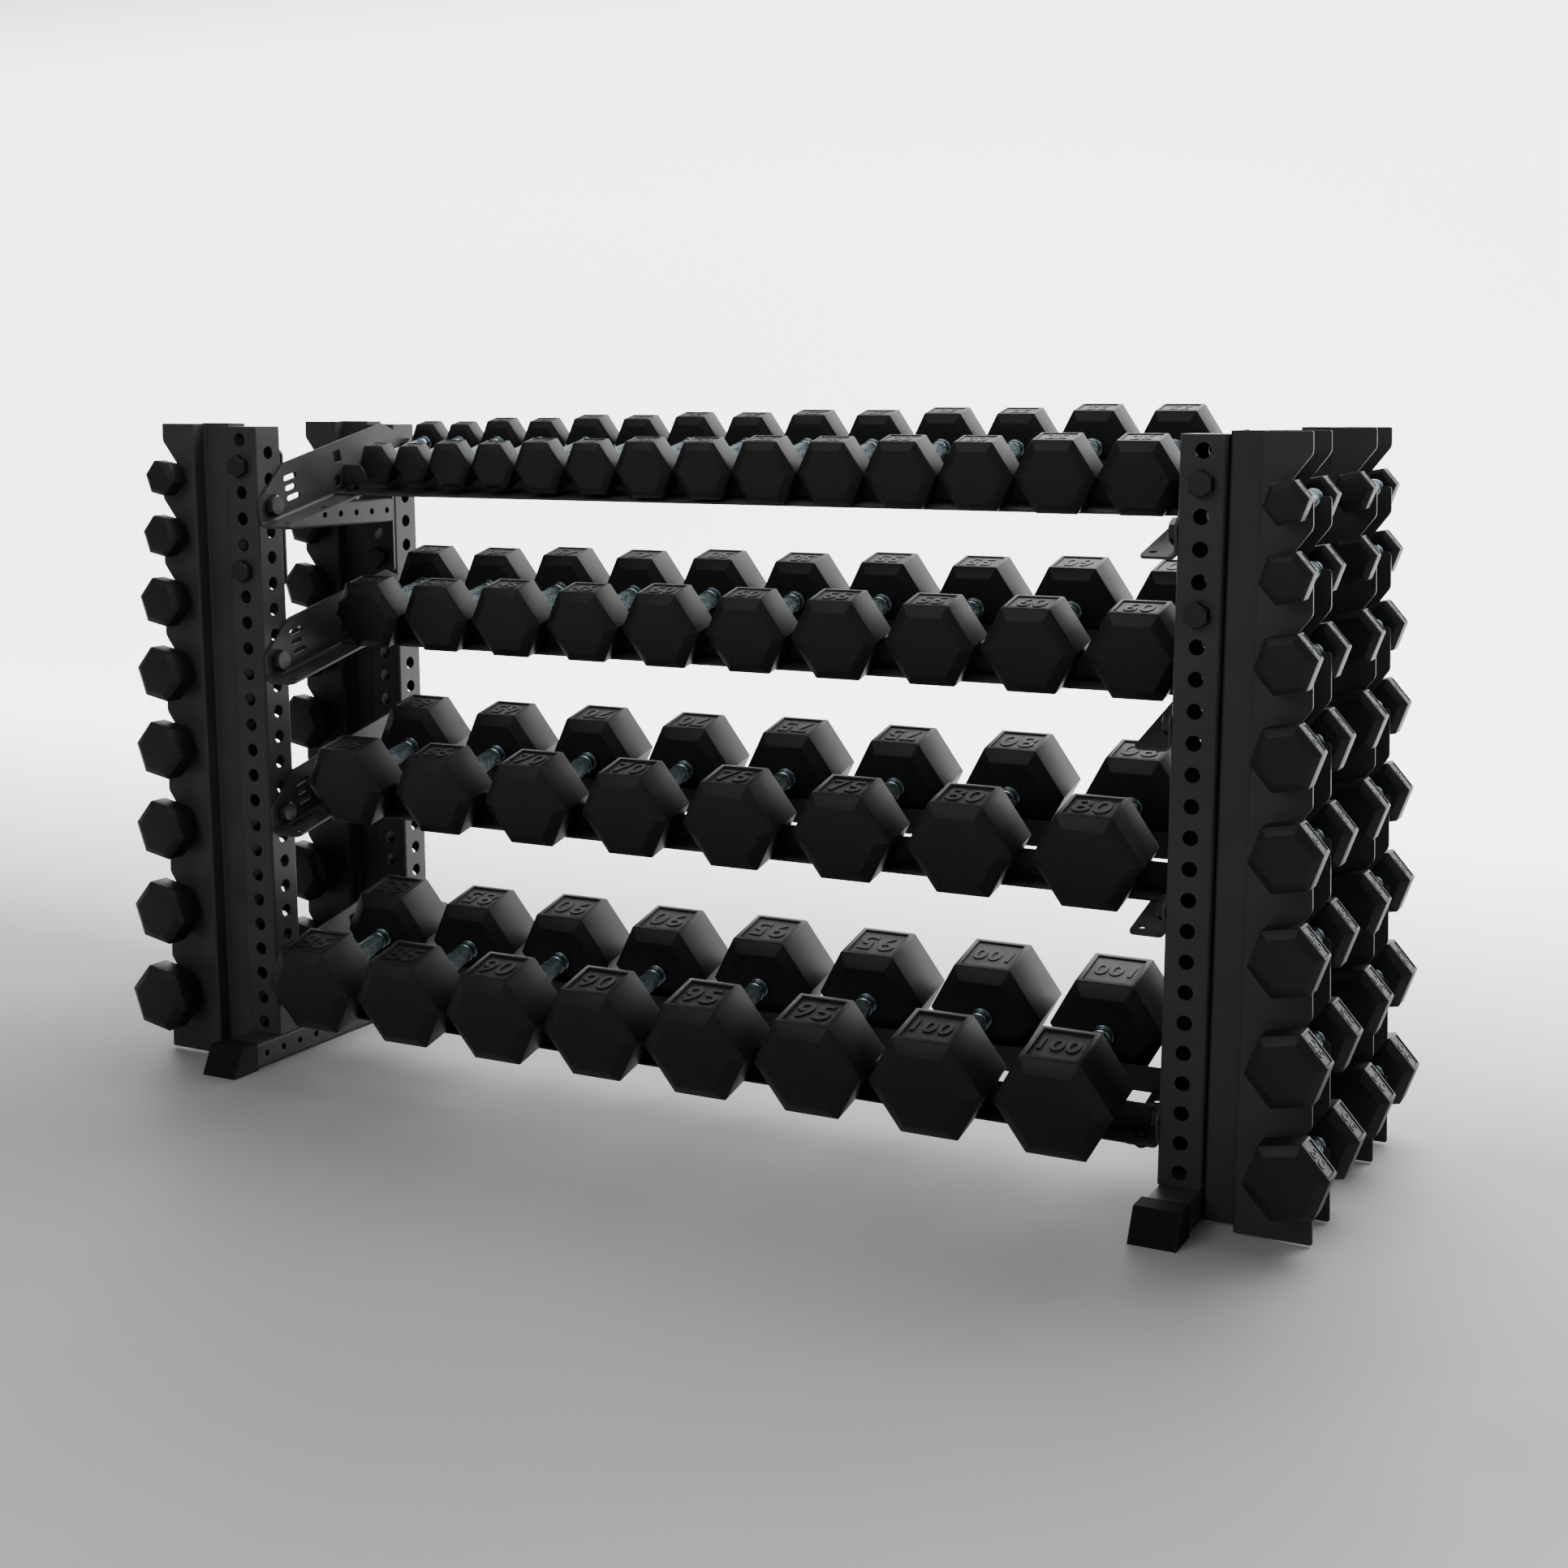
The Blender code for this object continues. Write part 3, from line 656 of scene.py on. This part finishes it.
def arm_mesh(outer):
    """Arm of a tier, right-hand: a plate with cut-outs, and a flange bent in along its lower edge."""
    plate_inner = outer - ARM_PLATE
    bend_top = ARM_BOTTOM + ARM_BEND
    upper = filleted([
        (0.000, 0.020, 0.0), (0.000, bend_top, 0.0), (ARM_LENGTH, bend_top, 0.0),
        (ARM_LENGTH, 0.048, 0.014), (0.419, ARM_TOP, 0.022), (0.092, ARM_TOP, 0.022), (0.004, 0.056, 0.016),
    ])
    plate = prism_mesh("arm", [upper], "X", plate_inner, outer)
    corner = (outer - ARM_BEND, bend_top)
    path = [(ARM_FLANGE_EDGE, ARM_BOTTOM)] + arc(corner, ARM_BEND, 270, 360) + [(outer, 0.020)]
    bm = bmesh.new()
    add_prism(bm, thick_path(path, ARM_PLATE), "Y", 0.0, ARM_LENGTH)
    plan = filleted([
        (ARM_FLANGE_EDGE, 0.0, ARM_CORNER), (outer + 0.01, 0.0, 0.0),
        (outer + 0.01, ARM_LENGTH, 0.0), (ARM_FLANGE_EDGE, ARM_LENGTH, ARM_CORNER),
    ])
    flange = combined(to_mesh("flange", bm), prism_mesh("plan", [plan], "Z", -0.01, 0.03), "INTERSECT")
    arm = combined(plate, flange, "UNION")
    windows = [
        rounded_rectangle(0.012, 0.012, 0.002, (0.258, 0.080)),
        circle(0.013, HOLE_SIDES, (0.247, 0.033)),
        slot_outline(0.020, 0.0055, (0.106, 0.078)),
        slot_outline(0.016, 0.0055, (0.102, 0.058)),
        slot_outline(0.020, 0.0055, (0.106, 0.038)),
    ]
    cutters = prism_mesh("windows", windows, "X", plate_inner - 0.002, outer + 0.002)
    arm = combined(arm, cutters, "DIFFERENCE")
    drilled = []
    for i in range(5):
        spot = (ARM_FLANGE_EDGE + 0.017, 0.024 + 4.5 * INCH * i)
        drilled.append(circle(0.0065, SMALL_HOLE_SIDES, spot))
    holes = prism_mesh("holes", drilled, "Z", ARM_BOTTOM - 0.01, ARM_BOTTOM + 0.012)
    return combined(arm, holes, "DIFFERENCE")


def rail_mesh():
    """Steel angle, its upright leg at the lower side of Y and its flat leg pointing up the slope."""
    root = 0.005
    outline = filleted([
        (0.0, 0.0, 0.0015), (RAIL_SIZE, 0.0, 0.0005), (RAIL_SIZE, RAIL_SHEET, 0.003),
        (RAIL_SHEET, RAIL_SHEET, root), (RAIL_SHEET, RAIL_SIZE, 0.003), (0.0, RAIL_SIZE, 0.0005),
    ])
    return prism_mesh("rail", [outline], "X", -RAIL_HALF_LENGTH, RAIL_HALF_LENGTH)


def build_trays():
    low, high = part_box("tray_1")
    arm = arm_mesh(high[0])
    rail = rail_mesh()
    left_arm = arm.copy()
    left_arm.transform(Matrix.Scale(-1.0, 4, (1.0, 0.0, 0.0)))
    left_arm.flip_normals()
    for tier in range(TIERS):
        node = f"tray_{tier + 1}"
        place = tier_place(tier)
        for end, mesh in (("right", arm), ("left", left_arm)):
            add_piece(f"arm_{tier + 1}_{end}", mesh, PAINT, stands_for=[node], place=place,
                      bevel=0.0006)
        middle = tier_middle(tier)
        rear = Matrix.Translation((0.0, middle + RAIL_HALF_SPACING, RAIL_BOTTOM))
        front = Matrix.Translation((0.0, middle - RAIL_HALF_SPACING, RAIL_BOTTOM))
        front = front @ Matrix.Rotation(math.pi, 4, "Z")
        for row, spot in (("rear", rear), ("front", front)):
            add_piece(f"rail_{tier + 1}_{row}", rail, PAINT, stands_for=[node],
                      place=place @ spot)


# ---------------------------------------------------------------- bolts

def bolt_mesh(flats, height):
    """Hex head with a turned top on its washer face, standing up along Z from a face at 0."""
    bm = bmesh.new()
    thickness = 0.0012
    add_prism(bm, circle(0.48 * flats, 32), "Z", 0.0, thickness)
    rings = []
    for z, share in ((thickness, 1.0), (thickness + 0.86 * height, 1.0), (thickness + height, None)):
        points = []
        for i in range(24):
            angle = math.radians(15.0 * i)
            from_flat = (angle + math.pi / 6) % (math.pi / 3) - math.pi / 6
            reach = flats / 2 / math.cos(from_flat) if share else 0.47 * flats
            points.append((reach * math.cos(angle), reach * math.sin(angle)))
        rings.append(ring(bm, points, "Z", z))
    bridge(bm, rings[0], rings[1])
    bridge(bm, rings[1], rings[2])
    bm.faces.new(rings[0])
    bm.faces.new(rings[2])
    return to_mesh("bolt", bm)


def facing(x, y, z, way):
    """Place a bolt that stands out of a face at a point, along a direction."""
    turn = Vector(way).to_track_quat("Z", "Y").to_matrix().to_4x4()
    return Matrix.Translation((x, y, z)) @ turn


def build_bolts():
    big = bolt_mesh(*BIG_BOLT)
    small = bolt_mesh(*SMALL_BOLT)
    upright_low, upright_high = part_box("upright_right_front")
    x = (upright_low[0] + upright_high[0]) / 2
    y = (upright_low[1] + upright_high[1]) / 2
    plate_low, plate_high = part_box("top_crossmember_right")
    z = (plate_low[2] + plate_high[2]) / 2
    web_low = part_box("side_holder_right_front")[0]
    arm_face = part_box("tray_1")[1][0] - ARM_PLATE
    web_face = web_low[0] + SHEET
    for end, side in (("left", -1), ("right", 1)):
        places = []
        for row in (-1, 1):
            for step in (-2, 2):
                height = z + HOLE_PITCH * step
                places.append(facing(side * x, row * (TUBE / 2 - y), height, (0, row, 0)))
                places.append(facing(side * x, row * (plate_high[1] - END_PLATE), height, (0, -row, 0)))
        bolts = gathered("bolts", big, places)
        add_piece(f"crossmember_bolts_{end}", bolts, BOLT_STEEL, bevel=0.0005)
    for tier in range(TIERS):
        tilt = tier_place(tier)
        middle = tier_middle(tier)
        places, small_places = [], []
        for side in (-1, 1):
            for s, n in ARM_BOLTS:
                spot = tilt @ Vector((0.0, s, n))
                places.append(facing(side * arm_face, spot.y, spot.z, (-side, 0, 0)))
                places.append(facing(side * web_face, spot.y, spot.z, (side, 0, 0)))
            for row in (-1, 1):
                s = middle + row * (RAIL_HALF_SPACING + RAIL_BOLT_OFFSET)
                spot = facing(side * RAIL_BOLT_X, s, RAIL_BOTTOM + RAIL_SHEET, (0, 0, 1))
                under = facing(side * RAIL_BOLT_X, s, ARM_BOTTOM, (0, 0, -1))
                small_places += [tilt @ spot, tilt @ under]
        bolts = gathered("bolts", big, places)
        add_piece(f"arm_bolts_{tier + 1}", bolts, BOLT_STEEL, bevel=0.0005)
        bolts = gathered("bolts", small, small_places)
        add_piece(f"rail_bolts_{tier + 1}", bolts, BOLT_STEEL, bevel=0.0003)


# ---------------------------------------------------------------- dumbbells

def number_mesh(text, width, height, relief):
    """Raised numerals, flat on Z = 0 and centred, that fit a width, a height and a depth of panel."""
    curve = bpy.data.curves.new("number", "FONT")
    curve.body = text
    curve.size = 1.0
    curve.resolution_u = 5
    curve.space_character = 1.08
    obj = bpy.data.objects.new("number", curve)
    bpy.context.scene.collection.objects.link(obj)
    bpy.context.view_layer.update()
    low, high = Vector(obj.bound_box[0]), Vector(obj.bound_box[6])
    scale = min(width / (high.x - low.x), height / (high.y - low.y))
    curve.offset = 0.19 * relief / scale
    curve.extrude = 0.31 * relief / scale
    curve.bevel_depth = 0.24 * relief / scale
    curve.bevel_resolution = 1
    graph = bpy.context.evaluated_depsgraph_get()
    mesh = bpy.data.meshes.new_from_object(obj.evaluated_get(graph))
    bpy.data.objects.remove(obj, do_unlink=True)
    middle = Matrix.Translation((-(low.x + high.x) / 2, -(low.y + high.y) / 2, 0.0))
    mesh.transform(Matrix.Scale(scale, 4) @ middle)
    return mesh


def add_head(bm, weight, side):
    """Hex head along Y with chamfered ends, soft edges and a sunk number panel on its top."""
    corner = head_corners(weight) / 2
    flats = head_flats(weight)
    small = corner - CHAMFER_RATIO * flats / math.cos(math.pi / HEX_SIDES)
    chamfer = CHAMFER_DEPTH * flats
    length = HEAD_LENGTH + LENGTH_GAIN * weight
    inner = GRIP_LENGTH / 2
    part = bmesh.new()
    rings = []
    for y, radius in ((inner, small), (inner + chamfer, corner), (inner + length - chamfer, corner),
                      (inner + length, small)):
        hexagon = [(radius * math.cos(math.pi * i / 3), radius * math.sin(math.pi * i / 3)) for i in range(6)]
        rings.append(ring(part, hexagon, "Y", side * y))
    for first, second in zip(rings, rings[1:]):
        bridge(part, first, second)
    part.faces.new(rings[0])
    part.faces.new(rings[-1])
    bmesh.ops.recalc_face_normals(part, faces=part.faces)
    soft = 0.0009 + 0.0030 * flats
    bmesh.ops.bevel(part, geom=part.edges[:], offset=soft, segments=2, profile=0.5, affect="EDGES",
                    clamp_overlap=True)
    top = max((f for f in part.faces if f.normal.z > 0.999), key=lambda f: f.calc_area())
    panel = (flats / math.sqrt(3) - 2 * soft, length - 2 * chamfer - 2 * soft)
    margin = 0.10 * min(panel)
    relief = 0.016 * flats
    bmesh.ops.inset_region(part, faces=[top], thickness=margin)
    bmesh.ops.inset_region(part, faces=[top], thickness=0.0005, depth=0.0003)
    bmesh.ops.inset_region(part, faces=[top], thickness=0.0013, depth=-relief)
    room = [size - 2 * margin for size in panel]
    number = number_mesh(str(weight), 0.84 * room[0], 0.66 * room[1], relief)
    turn = Matrix.Rotation(0.0 if side < 0 else math.pi, 4, "Z")
    spot = Matrix.Translation((0.0, side * (inner + length / 2), flats / 2 + 0.0003 - relief))
    number.transform(spot @ turn)
    part.from_mesh(number)
    mesh = bpy.data.meshes.new("head")
    part.to_mesh(mesh)
    part.free()
    bm.from_mesh(mesh)


def heads_mesh(weight):
    bm = bmesh.new()
    for side in (-1, 1):
        add_head(bm, weight, side)
    mesh = bpy.data.meshes.new(f"heads_{weight:03d}")
    bm.to_mesh(mesh)
    bm.free()
    return mesh


def handle_mesh(weight):
    """Turned grip along Y: swelling middle and two collars at each end."""
    gain = min(1.0, (weight - 5) / HANDLE_GAIN_WEIGHT)
    radius = HANDLE_RADIUS_SMALL + HANDLE_RADIUS_GAIN * gain
    half = GRIP_LENGTH / 2
    profile = []
    for i in range(13):
        y = -KNURL_HALF + 2 * KNURL_HALF * i / 12
        swell = (HANDLE_SWELL - 1) * (1 - abs(y) / half)
        profile.append((y, radius * (1 + swell)))
    collar = [
        (0.0490, radius + 0.0002), (0.0500, radius + 0.0016), (0.0515, radius + 0.0021),
        (0.0545, radius + 0.0021), (0.0560, radius + 0.0016), (0.0568, radius - 0.0002),
        (0.0622, radius - 0.0002), (0.0630, radius + 0.0022), (0.0642, radius + 0.0031),
        (0.0660, radius + 0.0031), (0.0672, radius + 0.0022), (half + 0.004, radius),
    ]
    profile = [(-y, r) for y, r in reversed(collar)] + profile + collar
    bm = bmesh.new()
    rings = []
    for y, r in profile:
        points = [(r * math.cos(math.pi * i / 16), r * math.sin(math.pi * i / 16)) for i in range(32)]
        rings.append(ring(bm, points, "Y", y))
    for first, second in zip(rings, rings[1:]):
        bridge(bm, first, second)
    bm.faces.new(rings[0])
    bm.faces.new(rings[-1])
    return to_mesh(f"handle_{weight:03d}", bm)


def build_dumbbells():
    weights = {int(node.split("_")[1]) for node in frame["nodes"] if node.startswith("dumbbell_")}
    weights = sorted(weights.union(HELD_WEIGHTS))
    heads = {weight: heads_mesh(weight) for weight in weights}
    handles = {weight: handle_mesh(weight) for weight in weights}
    for node in sorted(frame["nodes"]):
        if not node.startswith("dumbbell_"):
            continue
        weight = int(node.split("_")[1])
        low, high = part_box(node)
        centre = [(a + b) / 2 for a, b in zip(low, high)]
        place = Matrix.Translation(centre) @ Matrix.Rotation(TILT, 4, "X")
        add_piece(f"heads_{node[9:]}", heads[weight], HEAD_RUBBER, node, [node], place)
        add_piece(f"handle_{node[9:]}", handles[weight], STEEL, node, [node], place)
    for end, side in (("left", -1), ("right", 1)):
        for row in ("front", "rear"):
            low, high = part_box(f"side_holder_{end}_{row}")
            y = (low[1] + high[1]) / 2
            for weight, z in zip(HELD_WEIGHTS, side_handle_heights()):
                place = Matrix.Translation((side * handle_line(z), y, z))
                place = place @ Matrix.Rotation(side * SIDE_TURN, 4, "Y")
                label = f"{weight:03d}_{end}_{row}"
                add_piece(f"holder_heads_{label}", heads[weight], HEAD_RUBBER, place=place)
                add_piece(f"holder_handle_{label}", handles[weight], STEEL, place=place)


# ---------------------------------------------------------------- stage, lights and camera

def build_stage():
    """Pale floor that sweeps up into a white backdrop. Its colour is darker near the rack as painted shade,
    and the floor and backdrop glow as painted light, though they are no lamp.
    """
    bm = bmesh.new()
    half = 14.0
    wall_y, bend = 5.2, 2.2
    path = [(-9.0, 0.0), (wall_y - bend, 0.0)]
    path += arc((wall_y - bend, bend), bend, -90, 0, 16)[1:]
    path.append((wall_y, 9.0))
    left = ring(bm, path, "X", -half)
    right = ring(bm, path, "X", half)
    for i in range(len(path) - 1):
        bm.faces.new((left[i], left[i + 1], right[i + 1], right[i]))
    mesh = bpy.data.meshes.new("floor")
    bm.to_mesh(mesh)
    bm.free()
    mesh.shade_smooth()
    floor = bpy.data.objects.new("floor", mesh)
    bpy.context.scene.collection.objects.link(floor)
    n = Nodes("floor_painted_shade_and_glow")
    place = n.position()
    distance = n.add("ShaderNodeVectorMath", {0: place}, operation="LENGTH").outputs["Value"]
    # painted shade: the floor's colour is dark near the rack and pales with distance from it
    near_floor_painted_shade = n.ramp(distance, 1.5, 5.0, 0.0, 1.0)
    n.put(n.shader, "Base Color", n.mix(near_floor_painted_shade, (0.40, 0.401, 0.403), (0.94, 0.94, 0.94)))
    n.put(n.shader, "Roughness", n.ramp(n.noise(place, 3.0), 0.3, 0.7, 0.55, 0.65))
    across, depth, height = n.add("ShaderNodeSeparateXYZ", {0: place}).outputs
    # painted light: the floor and backdrop glow, stronger towards the back, weaker far to the right and high
    # up the backdrop
    painted_backdrop_glow = n.math("MULTIPLY", n.ramp(depth, 0.3, 3.4, 0.0, 3.6), n.ramp(across, 3.6, 5.0, 1.0, 0.12))
    painted_backdrop_glow = n.math("MULTIPLY", painted_backdrop_glow, n.ramp(height, 3.0, 3.7, 1.0, 0.15))
    n.put(n.shader, "Emission Strength", painted_backdrop_glow)
    n.shader.inputs["Emission Color"].default_value = (1.0, 1.0, 1.0, 1.0)
    mesh.materials.append(n.material)


def add_light(name, place, target, size, power):
    data = bpy.data.lights.new(name, "AREA")
    data.shape = "RECTANGLE"
    data.size, data.size_y = size
    data.energy = power
    light = bpy.data.objects.new(name, data)
    light.location = place
    light.rotation_euler = (Vector(target) - Vector(place)).to_track_quat("-Z", "Y").to_euler()
    bpy.context.scene.collection.objects.link(light)


def build_lights():
    world = bpy.data.worlds.new("studio")
    world.use_nodes = True
    world.node_tree.nodes["Background"].inputs["Color"].default_value = (1.0, 1.0, 1.0, 1.0)
    world.node_tree.nodes["Background"].inputs["Strength"].default_value = 0.20
    bpy.context.scene.world = world
    add_light("key_behind", (0.9, 2.2, 3.9), (0.0, -0.1, 0.4), (4.6, 3.0), 300)
    add_light("right_soft", (3.6, 0.2, 3.6), (0.9, 0.0, 0.7), (2.0, 2.0), 25)
    add_light("front_top", (-1.3, -2.4, 4.2), (0.2, -0.4, 0.4), (2.6, 1.6), 16)
    add_light("front_fill", (-1.0, -5.4, 3.6), (0.0, 0.0, 0.6), (4.0, 2.5), 72)


def build_camera():
    data = bpy.data.cameras.new("camera")
    data.sensor_width = 36.0
    data.lens = 49.79
    camera = bpy.data.objects.new("camera", data)
    camera.location = (1.93675, -3.5530, 1.32622)
    camera.rotation_euler = (math.pi / 2 - 0.175784, 0.0, 0.477045)
    bpy.context.scene.collection.objects.link(camera)
    bpy.context.scene.camera = camera


build_uprights()
for end_name in ("left", "right"):
    build_base_crossmember(f"base_crossmember_{end_name}")
    build_top_crossmember(f"top_crossmember_{end_name}")
    for row_name in ("front", "rear"):
        build_foot_cap(f"foot_cap_{end_name}_{row_name}")
build_holders()
build_trays()
build_bolts()
build_dumbbells()
build_stage()
build_lights()
build_camera()
